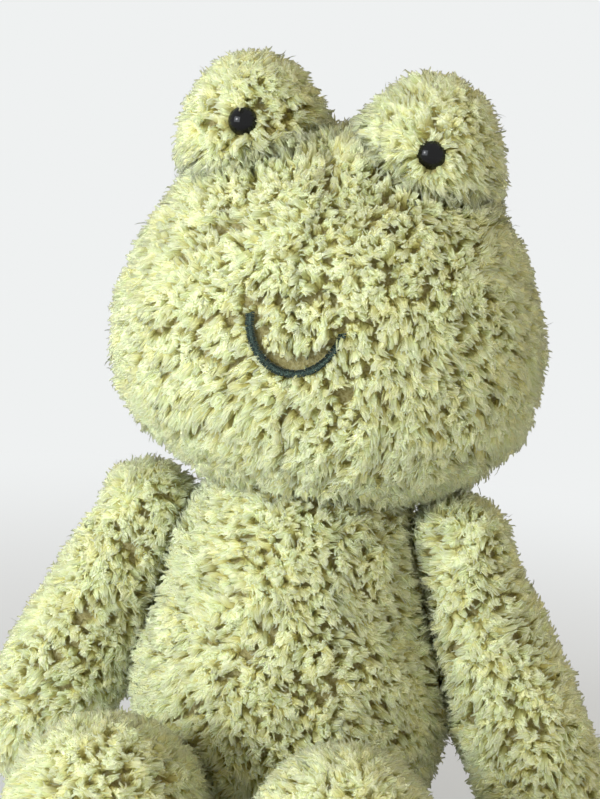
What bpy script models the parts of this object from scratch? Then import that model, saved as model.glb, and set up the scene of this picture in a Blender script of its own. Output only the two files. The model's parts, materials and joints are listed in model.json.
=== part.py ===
"""A sitting plush frog: sewn panels of long pile over loose fillings, two bead eyes,
a stitched smile, and a head, arms and legs that move on their seams.

Lengths are in metres and +Z is up. The frog faces -Y, so its own left is +X. The
origin is on the floor, under the middle of the seat.
"""

import math

import bmesh
import bpy
from mathutils import Matrix, Vector

for old in list(bpy.data.objects):
    bpy.data.objects.remove(old, do_unlink=True)

MM = 0.001

# Cloth, thread and fits
WALL = 7.0 * MM  # backing cloth with its pile
FIT = 0.3 * MM  # gap between pieces that touch
THREAD = 1.0 * MM  # thread that closes each seam between the body and a limb
SEAM = THREAD + 2 * FIT  # room that the thread takes between two forms
FLOOR_CUT = 0.5 * MM  # depth to which the seat and the feet are pressed flat
OVERRUN = 60.0 * MM  # how far a cutting block reaches past what it cuts

# Torso: round shoulders over a pear shaped belly
SHOULDER_RADIUS = 41.0 * MM
NECK_HEIGHT = 88.0 * MM  # centre of the round shoulders, about which the head moves
TORSO_WIDTH = 102.0 * MM
TORSO_DEPTH = 94.0 * MM
BELLY_HEIGHT = 50.0 * MM  # where the belly is widest
SEAT_SEAM_HEIGHT = 14.0 * MM  # the seat panel is below it
SEAT_SQUARENESS = 2.5  # 2 would be an ellipse
POUCH_WIDTH = 66.0 * MM
POUCH_DEPTH = 60.0 * MM
POUCH_HEIGHT = 28.0 * MM
POUCH_MIDDLE = 18.0 * MM

# Head: a broad form that the shoulders press into from below
HEAD_WIDTH = 138.0 * MM
HEAD_DEPTH = 108.0 * MM
HEAD_HEIGHT = 118.0 * MM
NECK_SINK = 16.0 * MM
NECK_THREAD_ANGLE = math.radians(32)  # from straight up, inside the head's neck opening
HEAD_LEAN = math.radians(2.5)  # towards its own left
HEAD_GIRTH_SHARES = ((0.0, 1.12), (0.2, 1.11), (0.4, 1.02), (0.65, 0.95), (0.85, 0.96), (1.0, 0.92))

# Eye mounds on top of the head
MOUND_WIDTH = 42.0 * MM
MOUND_FLARE_SHARE = 0.55  # how much wider than its dome a mound is at its foot
MOUND_SPACING = 56.0 * MM
MOUND_SHIFT = 2.5 * MM  # both sit this far towards its own right
MOUND_SINK = 0.5 * MM  # height of the head's top above the mounds' middles
MOUND_FORWARD = 4.0 * MM

# Bead eyes, each held by a washer on its shank
BEAD_WIDTH = 9.0 * MM
BEAD_DOME = 4.6 * MM
BEAD_RIM = 0.9 * MM
BEAD_SINK = 2.6 * MM
SHANK_WIDTH = 2.6 * MM
WASHER_WIDTH = 11.0 * MM
WASHER_THICK = 1.6 * MM
GRIP = 3.2 * MM  # cloth held between bead and washer
SHANK_TAIL = 2.0 * MM
LEFT_EYE_TURN = math.radians(11)  # from straight ahead, towards its own left
LEFT_EYE_RISE = math.radians(-6)
RIGHT_EYE_TURN = math.radians(3)
RIGHT_EYE_RISE = math.radians(2)

# Smile: satin stitches along half an ellipse
SMILE_WIDTH = 29.5 * MM
SMILE_DROP = 17.5 * MM
SMILE_HEIGHT = 66.0 * MM  # its ends, above the chin
STITCH_WIDTH = 2.4 * MM
STITCH_THICK = 1.8 * MM
STITCH_SINK = 0.3 * MM
SMILE_START = math.radians(8)
SMILE_TILT = math.radians(4)  # its left end hangs lower

# Arms: each leaves its socket on the round shoulder and hangs along the torso
SOCKET_DEPTH = 4.6 * MM  # how far a limb's socket is pressed into the torso
ROOT_ANGLE = math.radians(64)  # from its own length, where a limb leaves its round root
SHOULDER_ANGLE = math.radians(73)  # from straight up
ARM_ROOT_RADIUS = 16.0 * MM
ARM_WIDTH = 41.0 * MM
ARM_DROP = 84.0 * MM  # shoulder to the middle of the hand
ARM_CLEARANCE = 0.5 * MM  # between a hanging arm and the belly
ARM_GIRTH_SHARES = ((0.0, 0.0), (0.2, 0.02), (0.45, 0.6), (0.7, 1.0), (0.9, 1.0), (1.0, 0.9))
THREAD_PLACE_SHARE = 0.72  # where a limb's seam thread lies, of the way to its socket's rim

# Legs: each leaves its socket low on the belly and lies forward on the floor
HIP_HEIGHT = 27.0 * MM
HIP_SPACING = 46.0 * MM
LEG_ROOT_RADIUS = 13.0 * MM
LEG_REACH = 40.0 * MM  # hip to the middle of the foot
LEG_SPLAY = math.radians(14)
FOOT_WIDTH = 57.0 * MM
FOOT_HEIGHT = 60.0 * MM
FOOT_TOE_SHARE = 0.9  # how far the foot's round end reaches, of half its width
LEG_GIRTH_SHARES = ((0.0, 0.0), (0.2, 0.32), (0.5, 0.8), (0.8, 1.0), (1.0, 1.0))

# Counts of faces round and along the forms
BODY_SIDES = 24
LIMB_SIDES = 14
MOUND_SIDES = 14
BEAD_SIDES = 16
RING_STEPS = 20
CAP_STEPS = 4
ROOT_STEPS = 5
BELLY_STEPS = 4
SEAT_STEPS = 6
DOME_STEPS = 5
HEAD_STEPS = 12
GIRTH_STEPS = 100
LIMB_STEPS = 6
SMILE_STEPS = 22
SMILE_SIDES = 8
THREAD_SIDES = 5
LEAN_STEPS = 24

EYES = (("left", 1, LEFT_EYE_TURN, LEFT_EYE_RISE), ("right", -1, RIGHT_EYE_TURN, RIGHT_EYE_RISE))
SHARP_ANGLE = math.radians(50)  # edges bent further than this are not smoothed

# The chin's height above the middle of the round shoulders
CHIN = SHOULDER_RADIUS - NECK_SINK

# Colours, in linear light
PILE = (0.62, 0.66, 0.36)
FIBRE = (0.86, 0.86, 0.84)
POUCH_CLOTH = (0.78, 0.76, 0.7)
BEAD_BLACK = (0.008, 0.008, 0.01)
WASHER_WHITE = (0.75, 0.75, 0.73)
STITCH_GREEN = (0.035, 0.06, 0.05)
THREAD_GREEN = (0.42, 0.46, 0.26)


def new_material(name, colour, roughness):
    material = bpy.data.materials.new(name)
    material.use_nodes = True
    shader = material.node_tree.nodes["Principled BSDF"]
    shader.inputs["Base Color"].default_value = (*colour, 1.0)
    shader.inputs["Roughness"].default_value = roughness
    shader.inputs["Metallic"].default_value = 0.0
    material.diffuse_color = (*colour, 1.0)
    return material


def new_object(name, bm, parent=None):
    mesh = bpy.data.meshes.new(name)
    bm.to_mesh(mesh)
    bm.free()
    mesh.shade_smooth()
    mesh.set_sharp_from_angle(angle=SHARP_ANGLE)
    made = bpy.data.objects.new(name, mesh)
    bpy.context.collection.objects.link(made)
    made.parent = parent
    return made


def new_part(name, bm, colour, roughness=0.95, parent=None):
    made = new_object(name, bm, parent)
    made.data.materials.append(new_material(name, colour, roughness))
    return made


def new_cutter(name, bm, parent=None):
    made = new_object(name, bm, parent)
    made.hide_render = True
    made.display_type = "WIRE"
    return made


def new_pivot(name, place, turn, parent=None):
    """An empty on a joint's axis, which carries the pieces that move about it."""
    pivot = bpy.data.objects.new(name, None)
    bpy.context.collection.objects.link(pivot)
    pivot.parent = parent
    pivot.matrix_local = Matrix.Translation(place) @ turn
    return pivot


def combine(made, other, operation="DIFFERENCE"):
    cut = made.modifiers.new(operation.lower() + " " + other.name, "BOOLEAN")
    cut.operation = operation
    cut.solver = "EXACT"
    cut.object = other


def ring(centre, across, up, half_across, half_up, sides):
    """Points round an ellipse, half a step off its axes so that no point lies on a seam."""
    turns = [2 * math.pi * (step + 0.5) / sides for step in range(sides)]
    return [centre + across * half_across * math.cos(a) + up * half_up * math.sin(a) for a in turns]


def skin(rings, inset=0.0, looped=False):
    """One closed skin over a stack of rings, moved inwards by inset. A ring of one point
    closes an end, and a looped stack closes on itself."""
    bm = bmesh.new()
    rows = [[bm.verts.new(point) for point in points] for points in rings]
    pairs = list(zip(rows, rows[1:]))
    if looped:
        pairs.append((rows[-1], rows[0]))
    for low, high in pairs:
        for step in range(max(len(low), len(high))):
            corners = [low[step % len(low)], low[(step + 1) % len(low)]]
            corners += [high[(step + 1) % len(high)], high[step % len(high)]]
            bm.faces.new(list(dict.fromkeys(corners)))
    bmesh.ops.recalc_face_normals(bm, faces=bm.faces)
    bm.normal_update()
    for vert in bm.verts:
        vert.co = vert.co - vert.normal * inset
    return bm


def walled(rings):
    """A skin and, one wall further in, its lining."""
    bm = skin(rings)
    copied = bmesh.ops.duplicate(bm, geom=bm.verts[:] + bm.edges[:] + bm.faces[:])["geom"]
    lining = [piece for piece in copied if isinstance(piece, bmesh.types.BMVert)]
    for vert in lining:
        vert.co = vert.co - vert.normal * WALL
    faces = [piece for piece in copied if isinstance(piece, bmesh.types.BMFace)]
    bmesh.ops.reverse_faces(bm, faces=faces)
    return bm


def block(low, high):
    """A box between two corners."""
    bm = bmesh.new()
    bmesh.ops.create_cube(bm, size=1.0)
    size = Vector(high) - Vector(low)
    middle = (Vector(high) + Vector(low)) / 2
    for vert in bm.verts:
        vert.co = Vector(a * b for a, b in zip(vert.co, size)) + middle
    return bm


def turned(profile, sides):
    """A turned solid about Z, from (radius, height) pairs whose first and last radii are 0."""
    across = Vector((1, 0, 0))
    up = Vector((0, 1, 0))
    rings = []
    for radius, height in profile:
        centre = Vector((0, 0, height))
        rings.append(ring(centre, across, up, radius, radius, sides) if radius else [centre])
    return skin(rings)


def round_about(radius, sides=BODY_SIDES):
    """A ball whose flat faces all stay outside the radius, for cutting a round hollow."""
    steps = sides // 2
    true = radius / (math.cos(math.pi / sides) * math.cos(math.pi / (2 * steps)))
    turns = [math.pi * step / steps for step in range(1, steps)]
    profile = [(true * math.sin(a), -true * math.cos(a)) for a in turns]
    return turned([(0, -true), *profile, (0, true)], sides)


def thread_ring(ball_radius, angle):
    """A loop of thread on a ball about the origin, at an angle from +Z."""
    reach = ball_radius + SEAM / 2
    loop = []
    for step in range(RING_STEPS):
        turn = 2 * math.pi * step / RING_STEPS
        sine, cosine = math.sin(angle), math.cos(angle)
        outward = Vector((math.cos(turn) * sine, math.sin(turn) * sine, cosine))
        along = Vector((math.cos(turn) * cosine, math.sin(turn) * cosine, -sine))
        loop.append(ring(outward * reach, along, outward, THREAD / 2, THREAD / 2, THREAD_SIDES))
    return skin(loop, looped=True)


def blend(table, at):
    """A smooth value between the rows of a table of (place, value)."""
    for (low, a), (high, b) in zip(table, table[1:]):
        if at <= high:
            t = (at - low) / (high - low)
            return a + (b - a) * t * t * (3 - 2 * t)
    return table[-1][1]


# Torso

def torso_halves(height):
    """Half width and half depth of the torso at a height under the round shoulders."""
    if height > BELLY_HEIGHT:
        down = (NECK_HEIGHT - height) / (NECK_HEIGHT - BELLY_HEIGHT)
        ease = (1 - math.cos(math.pi * down)) / 2
        width = SHOULDER_RADIUS + (TORSO_WIDTH / 2 - SHOULDER_RADIUS) * ease
        depth = SHOULDER_RADIUS + (TORSO_DEPTH / 2 - SHOULDER_RADIUS) * ease
        return width, depth
    down = (BELLY_HEIGHT - height) / (BELLY_HEIGHT + FLOOR_CUT)
    girth = max(1 - down**SEAT_SQUARENESS, 0) ** (1 / SEAT_SQUARENESS)
    return TORSO_WIDTH / 2 * girth, TORSO_DEPTH / 2 * girth


def torso_rings():
    heights = []
    for step in range(1, SEAT_STEPS):
        low = math.cos(math.pi / 2 * step / SEAT_STEPS) ** (2 / SEAT_SQUARENESS)
        heights.append(BELLY_HEIGHT - (BELLY_HEIGHT + FLOOR_CUT) * low)
    for step in range(BELLY_STEPS):
        heights.append(BELLY_HEIGHT + (NECK_HEIGHT - BELLY_HEIGHT) * step / BELLY_STEPS)
    sections = [(height, *torso_halves(height)) for height in heights]
    for step in range(DOME_STEPS):
        turn = math.pi / 2 * step / DOME_STEPS
        radius = SHOULDER_RADIUS * math.cos(turn)
        sections.append((NECK_HEIGHT + SHOULDER_RADIUS * math.sin(turn), radius, radius))
    across = Vector((1, 0, 0))
    up = Vector((0, 1, 0))
    rings = [ring(Vector((0, 0, z)), across, up, a, b, BODY_SIDES) for z, a, b in sections]
    bottom = Vector((0, 0, -FLOOR_CUT))
    top = Vector((0, 0, NECK_HEIGHT + SHOULDER_RADIUS))
    return [[bottom], *rings, [top]]


def pouch_form(extra):
    halves = (POUCH_WIDTH / 2 + extra, POUCH_DEPTH / 2 + extra, POUCH_HEIGHT / 2 + extra)
    turns = [math.pi * step / SEAT_STEPS for step in range(1, SEAT_STEPS)]
    bm = turned([(0, -1), *[(math.sin(a), -math.cos(a)) for a in turns], (0, 1)], LIMB_SIDES)
    for vert in bm.verts:
        vert.co = Vector(a * b for a, b in zip(vert.co, halves)) + Vector((0, 0, POUCH_MIDDLE))
    return bm


def make_torso(sockets):
    reach = TORSO_WIDTH + OVERRUN
    top = NECK_HEIGHT + SHOULDER_RADIUS + OVERRUN
    seam = SEAT_SEAM_HEIGHT + FIT / 2
    front = new_cutter("front_half", block((-reach, -reach, seam), (reach, -FIT / 2, top)))
    back = new_cutter("back_half", block((-reach, FIT / 2, seam), (reach, reach, top)))
    seat = new_cutter("seat_slice", block((-reach, -reach, 0), (reach, reach, seam - FIT)))
    rings = torso_rings()
    for name, half in (("torso_front_panel", front), ("torso_back_panel", back), ("seat_panel", seat)):
        panel = new_part(name, walled(rings), PILE)
        combine(panel, half, "INTERSECT")
        for socket in sockets:
            if name != "seat_panel":
                combine(panel, socket)

    room = new_cutter("torso_room", skin(rings, WALL + FIT))
    pouch = new_part("bean_pouch", pouch_form(0), POUCH_CLOTH)
    combine(pouch, room, "INTERSECT")
    filling = new_part("torso_filling", skin(rings, WALL + FIT), FIBRE)
    combine(filling, new_cutter("pouch_room", pouch_form(FIT)))


# Head

def head_girth(height):
    """Girth of the head at a height above the chin, as a share of its widest."""
    def at(share):
        return 2 * math.sqrt(max(share * (1 - share), 0)) * blend(HEAD_GIRTH_SHARES, share)

    widest = max(at(step / GIRTH_STEPS) for step in range(GIRTH_STEPS))
    return at(height / HEAD_HEIGHT) / widest


def head_place(x, height, sink=0.0):
    """A point on the front of the head, at x and a height above the chin, and the way out of it."""
    def front(x, height):
        girth = head_girth(height)
        width = HEAD_WIDTH / 2 * girth
        return Vector((x, -HEAD_DEPTH / 2 * girth * math.sqrt(1 - (x / width) ** 2), height))

    step = FIT
    place = front(x, height)
    side = front(x + step, height) - front(x - step, height)
    rise = front(x, height + step) - front(x, height - step)
    outward = side.cross(rise).normalized()
    return place - outward * sink, outward


def head_rings():
    across = Vector((1, 0, 0))
    up = Vector((0, 1, 0))
    rings = []
    for step in range(1, HEAD_STEPS):
        height = HEAD_HEIGHT * (1 - math.cos(math.pi * step / HEAD_STEPS)) / 2
        girth = head_girth(height)
        halves = (HEAD_WIDTH / 2 * girth, HEAD_DEPTH / 2 * girth)
        rings.append(ring(Vector((0, 0, CHIN + height)), across, up, *halves, BODY_SIDES))
    return [[Vector((0, 0, CHIN))], *rings, [Vector((0, 0, CHIN + HEAD_HEIGHT))]]


def smile_form(extra):
    rings = []
    places = []
    for step in range(SMILE_STEPS + 1):
        turn = SMILE_START + (math.pi - 2 * SMILE_START) * step / SMILE_STEPS
        across = -SMILE_WIDTH / 2 * math.cos(turn)
        drop = SMILE_DROP * math.sin(turn)
        x = across * math.cos(SMILE_TILT) - drop * math.sin(SMILE_TILT)
        height = SMILE_HEIGHT - across * math.sin(SMILE_TILT) - drop * math.cos(SMILE_TILT)
        place, outward = head_place(x, height, STITCH_SINK)
        places.append((place + Vector((0, 0, CHIN)), outward))
    for step, (place, outward) in enumerate(places):
        ahead = places[min(step + 1, SMILE_STEPS)][0] - places[max(step - 1, 0)][0]
        across = ahead.cross(outward).normalized()
        halves = (STITCH_WIDTH / 2 + extra, STITCH_THICK / 2 + extra)
        rings.append(ring(place, across, outward, *halves, SMILE_SIDES))
    ahead = (places[0][0] - places[1][0]).normalized()
    behind = (places[-1][0] - places[-2][0]).normalized()
    first = places[0][0] + ahead * (STITCH_THICK / 2 + extra)
    last = places[-1][0] + behind * (STITCH_THICK / 2 + extra)
    return skin([[first], *rings, [last]])


def eye_profile():
    """Bead and shank about Z, with the bead's flat back at height 0 and its dome towards +Z."""
    dome = [math.pi / 2 * step / CAP_STEPS for step in range(CAP_STEPS)]
    shank_end = -(GRIP + 2 * FIT + WASHER_THICK + SHANK_TAIL)
    profile = [(0, shank_end), (SHANK_WIDTH / 2, shank_end), (SHANK_WIDTH / 2, 0), (BEAD_WIDTH / 2, 0)]
    for turn in dome:
        height = BEAD_RIM + (BEAD_DOME - BEAD_RIM) * math.sin(turn)
        profile.append((BEAD_WIDTH / 2 * math.cos(turn), height))
    return [*profile, (0, BEAD_DOME)]


def washer_loop():
    outer = WASHER_WIDTH / 2
    inner = SHANK_WIDTH / 2 + FIT
    high = -(GRIP + 2 * FIT)
    corners = ((outer, high - WASHER_THICK), (outer, high), (inner, high), (inner, high - WASHER_THICK))
    across = Vector((1, 0, 0))
    up = Vector((0, 1, 0))
    return [ring(Vector((0, 0, z)), across, up, r, r, BEAD_SIDES) for r, z in corners]


def eye_room(bottom):
    """Profile of the room that a bead, its shank and its washer take, open as far as bottom."""
    bead = BEAD_WIDTH / 2 + FIT
    shank = SHANK_WIDTH / 2 + FIT
    washer = WASHER_WIDTH / 2 + FIT
    profile = [(0, bottom), (washer, bottom), (washer, -GRIP - FIT), (shank, -GRIP - FIT)]
    return [*profile, (shank, -FIT), (bead, -FIT), (bead, OVERRUN), (0, OVERRUN)]


def mound_rings(place):
    """Rings over an eye mound: a ball that flares below its middle."""
    radius = MOUND_WIDTH / 2
    across = Vector((1, 0, 0))
    up = Vector((0, 1, 0))
    steps = MOUND_SIDES // 2
    rings = [[place - Vector((0, 0, radius))]]
    for step in range(1, steps):
        turn = math.pi * step / steps
        girth = radius * math.sin(turn) * (1 + MOUND_FLARE_SHARE * max(math.cos(turn), 0))
        centre = place - Vector((0, 0, radius * math.cos(turn)))
        rings.append(ring(centre, across, up, girth, girth, MOUND_SIDES))
    return [*rings, [place + Vector((0, 0, radius))]]


def make_mound(side, sign, turn, rise, around, neck):
    """An eye mound and its filling, with a bead eye facing out of it at the two angles."""
    radius = MOUND_WIDTH / 2
    x = sign * MOUND_SPACING / 2 - MOUND_SHIFT
    place = Vector((x, -MOUND_FORWARD, CHIN + HEAD_HEIGHT - MOUND_SINK))
    rings = mound_rings(place)
    mound = new_part(side + "_eye_mound", walled(rings), PILE, parent=neck)
    filling = new_part(side + "_mound_filling", skin(rings, WALL + FIT), FIBRE, parent=neck)
    facing = Matrix.Rotation(turn, 4, "Z") @ Matrix.Rotation(math.pi / 2 - rise, 4, "X")
    outward = facing @ Vector((0, 0, 1))
    eye = new_pivot(side + "_eye_axis", place + outward * (radius - BEAD_SINK), facing, neck)
    new_part(side + "_eye", turned(eye_profile(), BEAD_SIDES), BEAD_BLACK, 0.08, eye)
    new_part(side + "_eye_washer", skin(washer_loop(), looped=True), WASHER_WHITE, 0.5, eye)
    combine(mound, around)
    combine(filling, around)
    combine(mound, new_cutter(side + "_eye_room", turned(eye_room(-radius), BEAD_SIDES), eye))
    pocket = eye_profile()[0][1] - FIT
    combine(filling, new_cutter(side + "_washer_pocket", turned(eye_room(pocket), BEAD_SIDES), eye))


def make_head(neck, shoulders):
    reach = HEAD_WIDTH + OVERRUN
    top = CHIN + HEAD_HEIGHT + OVERRUN
    bottom = CHIN - OVERRUN
    front = new_cutter("head_front_half", block((-reach, -reach, bottom), (reach, -FIT / 2, top)), neck)
    back = new_cutter("head_back_half", block((-reach, FIT / 2, bottom), (reach, reach, top)), neck)
    rings = head_rings()
    around = new_cutter("head_around", skin(rings, -FIT), neck)
    for name, half in (("head_front_panel", front), ("head_back_panel", back)):
        panel = new_part(name, walled(rings), PILE, parent=neck)
        combine(panel, half, "INTERSECT")
        combine(panel, shoulders)
        if half is front:
            combine(panel, new_cutter("smile_groove", smile_form(FIT), neck))
    filling = new_part("head_filling", skin(rings, WALL + FIT), FIBRE, parent=neck)
    combine(filling, shoulders)
    new_part("smile_stitching", smile_form(0), STITCH_GREEN, 0.6, neck)

    for side, sign, turn, rise in EYES:
        make_mound(side, sign, turn, rise, around, neck)


# Limbs. Each is made with its socket's middle at the origin, leaving the torso along +X,
# bending only in the XZ plane, and sewn from two halves that meet in that plane.

def limb_rings(spine, girths, widths, root_radius, toe_share):
    """Rings over a limb whose spine is four control points of a curve in the XZ plane."""
    side = Vector((0, 1, 0))

    def along(t):
        a, b, c, d = (Vector((x, 0, z)) for x, z in spine)
        place = a * (1 - t) ** 3 + b * 3 * t * (1 - t) ** 2 + c * 3 * t * t * (1 - t) + d * t**3
        ahead = (b - a) * (1 - t) ** 2 + (c - b) * 2 * t * (1 - t) + (d - c) * t * t
        return place, ahead.normalized()

    start, ahead = along(0)
    sections = []
    for step in range(1, ROOT_STEPS + 1):
        turn = (math.pi - ROOT_ANGLE) * step / ROOT_STEPS
        radius = root_radius * math.sin(turn)
        sections.append((start - ahead * root_radius * math.cos(turn), ahead, radius, radius))
    for step in range(1, LIMB_STEPS + 1):
        t = step / LIMB_STEPS
        place, way = along(t)
        grown = blend(girths, t)
        halves = [root_radius + (width / 2 - root_radius) * grown for width in widths]
        if (place - start).length > root_radius:
            sections.append((place, way, *halves))
    end, way = along(1)
    wide, tall = sections[-1][2:]
    toe = wide * toe_share
    for step in range(1, CAP_STEPS):
        turn = math.pi / 2 * step / CAP_STEPS
        share = math.cos(turn)
        sections.append((end + way * toe * math.sin(turn), way, wide * share, tall * share))
    rings = [[start - ahead * root_radius]]
    for place, way, wide, tall in sections:
        rings.append(ring(place, side, way.cross(side), wide, tall, LIMB_SIDES))
    return [*rings, [end + way * toe]]


def make_limb(name, halves, rings, pivot, floor=None):
    """Two sewn halves and their filling. Halves are the names of the +Y and the -Y one."""
    reach = ARM_DROP + FOOT_HEIGHT + OVERRUN
    for half, sign in zip(halves, (1, -1)):
        y = sorted((sign * FIT / 2, sign * reach))
        slab = block((-reach, y[0], -reach), (reach, y[1], reach))
        side = new_cutter(name + "_" + half + "_half", slab, pivot)
        panel = new_part(name + "_" + half + "_panel", walled(rings), PILE, parent=pivot)
        combine(panel, side, "INTERSECT")
        if floor:
            combine(panel, floor)
    new_part(name + "_filling", skin(rings, WALL + FIT), FIBRE, parent=pivot)


def socket_standoff(root_radius):
    """How far a limb's middle stands out of the torso, so that its socket has its depth."""
    return root_radius + SEAM - SOCKET_DEPTH


def make_thread(name, root_radius, angle, pivot):
    """A seam thread round the root of a limb, on its side towards the torso."""
    bm = thread_ring(root_radius, angle)
    bmesh.ops.rotate(bm, verts=bm.verts, matrix=Matrix.Rotation(-math.pi / 2, 3, "Y"))
    new_part(name, bm, THREAD_GREEN, 0.7, pivot)


def thread_angle(root_radius):
    """Angle of a limb's seam thread from straight into the torso."""
    rim = math.acos(socket_standoff(root_radius) / (root_radius + SEAM))
    return rim * THREAD_PLACE_SHARE


def shoulder_place(sign):
    """The middle of an arm's round root."""
    reach = SHOULDER_RADIUS + socket_standoff(ARM_ROOT_RADIUS)
    out = Vector((sign * math.sin(SHOULDER_ANGLE), 0, math.cos(SHOULDER_ANGLE)))
    return Vector((0, 0, NECK_HEIGHT)) + out * reach


def arm_halves(t):
    """Half width of an arm at a share of the way from shoulder to hand."""
    return ARM_ROOT_RADIUS + (ARM_WIDTH / 2 - ARM_ROOT_RADIUS) * blend(ARM_GIRTH_SHARES, t)


def hanging_angle():
    """The angle from straight down at which an arm comes to lie against the belly."""
    start = shoulder_place(1)
    angle = 0.0
    for step in range(1, LEAN_STEPS + 1):
        t = step / LEAN_STEPS
        for level in range(LEAN_STEPS):
            height = NECK_HEIGHT * level / LEAN_STEPS
            away = Vector((start.x - torso_halves(height)[0], start.z - height))
            reach = ARM_DROP * t
            # The arm's axis passes this far from a point of the belly's outline
            need = arm_halves(t) + ARM_CLEARANCE
            gap = (away.length**2 + reach**2 - need**2) / (2 * away.length * reach)
            if abs(gap) < 1:
                bearing = math.atan2(-away.x, away.y)
                angle = max(angle, bearing + math.acos(gap))
    return angle


def make_arm(side, sign):
    place = shoulder_place(sign)
    facing = Matrix.Rotation(0 if sign > 0 else math.pi, 4, "Z")
    tilt = Matrix.Rotation(SHOULDER_ANGLE - math.pi / 2, 4, "Y")
    seam = new_pivot(side + "_shoulder", place, facing @ tilt)
    lift = hanging_angle() - (math.pi / 2 - SHOULDER_ANGLE)
    hang = new_pivot(side + "_arm_lift", Vector(), Matrix.Rotation(-lift, 4, "Y"), seam)
    socket = new_cutter(side + "_arm_socket", round_about(ARM_ROOT_RADIUS + SEAM), seam)
    spine = ((0, 0), (0, -ARM_DROP / 3), (0, -ARM_DROP * 2 / 3), (0, -ARM_DROP))
    widths = (ARM_WIDTH, ARM_WIDTH)
    rings = limb_rings(spine, ARM_GIRTH_SHARES, widths, ARM_ROOT_RADIUS, 1)
    halves = ("back", "front") if sign > 0 else ("front", "back")
    make_limb(side + "_arm", halves, rings, hang)
    make_thread(side + "_shoulder_thread", ARM_ROOT_RADIUS, thread_angle(ARM_ROOT_RADIUS), seam)
    return socket


def make_leg(side, sign, floor):
    standoff = socket_standoff(LEG_ROOT_RADIUS)
    width, depth = torso_halves(HIP_HEIGHT)
    x = HIP_SPACING / 2
    y = depth * math.sqrt(1 - (x / width) ** 2)
    out = Vector((sign * x / width**2, -y / depth**2, 0)).normalized()
    place = Vector((sign * x, -y, HIP_HEIGHT)) + out * standoff
    facing = Matrix.Rotation(-math.pi / 2 + sign * LEG_SPLAY, 4, "Z")
    seam = new_pivot(side + "_hip", place, facing)
    socket = new_cutter(side + "_leg_socket", round_about(LEG_ROOT_RADIUS + SEAM), seam)
    drop = FOOT_HEIGHT / 2 - FLOOR_CUT - HIP_HEIGHT
    spine = ((0, 0), (LEG_REACH / 3, 0), (LEG_REACH * 2 / 3, drop), (LEG_REACH, drop))
    widths = (FOOT_WIDTH, FOOT_HEIGHT)
    rings = limb_rings(spine, LEG_GIRTH_SHARES, widths, LEG_ROOT_RADIUS, FOOT_TOE_SHARE)
    halves = ("outer", "inner") if sign > 0 else ("inner", "outer")
    make_limb(side + "_leg", halves, rings, seam, floor)
    inward = facing.to_3x3().inverted() @ -out
    bm = thread_ring(LEG_ROOT_RADIUS, thread_angle(LEG_ROOT_RADIUS))
    bmesh.ops.rotate(bm, verts=bm.verts, matrix=Vector((0, 0, 1)).rotation_difference(inward).to_matrix())
    new_part(side + "_hip_thread", bm, THREAD_GREEN, 0.7, seam)
    return socket


ground = OVERRUN + TORSO_WIDTH + LEG_REACH + FOOT_WIDTH
floor = new_cutter("under_floor", block((-ground, -ground, -OVERRUN), (ground, ground, 0)))
sockets = [
    make_arm("left", 1),
    make_arm("right", -1),
    make_leg("left", 1, floor),
    make_leg("right", -1, floor),
]
make_torso(sockets)

neck_seam = new_pivot("neck_seam", Vector((0, 0, NECK_HEIGHT)), Matrix.Identity(4))
shoulders = new_cutter("shoulders_room", round_about(SHOULDER_RADIUS + SEAM), neck_seam)
new_part("neck_thread", thread_ring(SHOULDER_RADIUS, NECK_THREAD_ANGLE), THREAD_GREEN, 0.7, neck_seam)
neck = new_pivot("neck", Vector(), Matrix.Rotation(HEAD_LEAN, 4, "Y"), neck_seam)
make_head(neck, shoulders)
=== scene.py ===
# %% [markdown]
# # A plush frog in long curly pile
#
# The real toy is cut from curly pile cloth, sewn, turned and stuffed. What the eye meets is not the
# cloth but its pile: thousands of small crimped locks with pale tips and olive gaps between them.
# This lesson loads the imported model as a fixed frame, makes a backing cloth a few millimetres under
# each sewn form, and plants locks of real strands on it. The bead eyes and the stitched smile follow.

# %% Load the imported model
import json
import math

import bpy
import numpy as np
from mathutils import Matrix, Vector, noise
from mathutils.bvhtree import BVHTree
from mathutils.kdtree import KDTree

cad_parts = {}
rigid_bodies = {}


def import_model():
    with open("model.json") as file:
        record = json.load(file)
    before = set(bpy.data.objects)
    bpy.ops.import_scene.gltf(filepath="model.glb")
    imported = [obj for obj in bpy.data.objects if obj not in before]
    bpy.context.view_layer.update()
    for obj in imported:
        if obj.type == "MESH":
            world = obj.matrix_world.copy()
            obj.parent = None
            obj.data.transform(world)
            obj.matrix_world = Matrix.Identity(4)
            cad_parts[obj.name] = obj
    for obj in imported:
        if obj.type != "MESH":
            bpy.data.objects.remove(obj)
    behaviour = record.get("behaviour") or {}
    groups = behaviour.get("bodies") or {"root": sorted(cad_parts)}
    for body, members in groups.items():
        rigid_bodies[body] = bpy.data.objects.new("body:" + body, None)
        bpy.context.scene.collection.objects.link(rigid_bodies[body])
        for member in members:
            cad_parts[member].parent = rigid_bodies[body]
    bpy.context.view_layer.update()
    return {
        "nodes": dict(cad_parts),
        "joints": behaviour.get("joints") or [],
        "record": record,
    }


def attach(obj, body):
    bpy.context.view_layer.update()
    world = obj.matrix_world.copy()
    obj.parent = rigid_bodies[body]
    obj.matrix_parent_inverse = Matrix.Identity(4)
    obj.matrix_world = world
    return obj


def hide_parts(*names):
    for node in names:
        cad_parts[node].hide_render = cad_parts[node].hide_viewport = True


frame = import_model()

bpy.ops.object.select_all(action="DESELECT")
MM = 0.001

# %% [markdown]
# ## Small helpers
#
# Operators act on what is selected, so one helper selects exactly what a step works on. Another adds
# a modifier and applies it at once, because every finished piece is a plain mesh.

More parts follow.
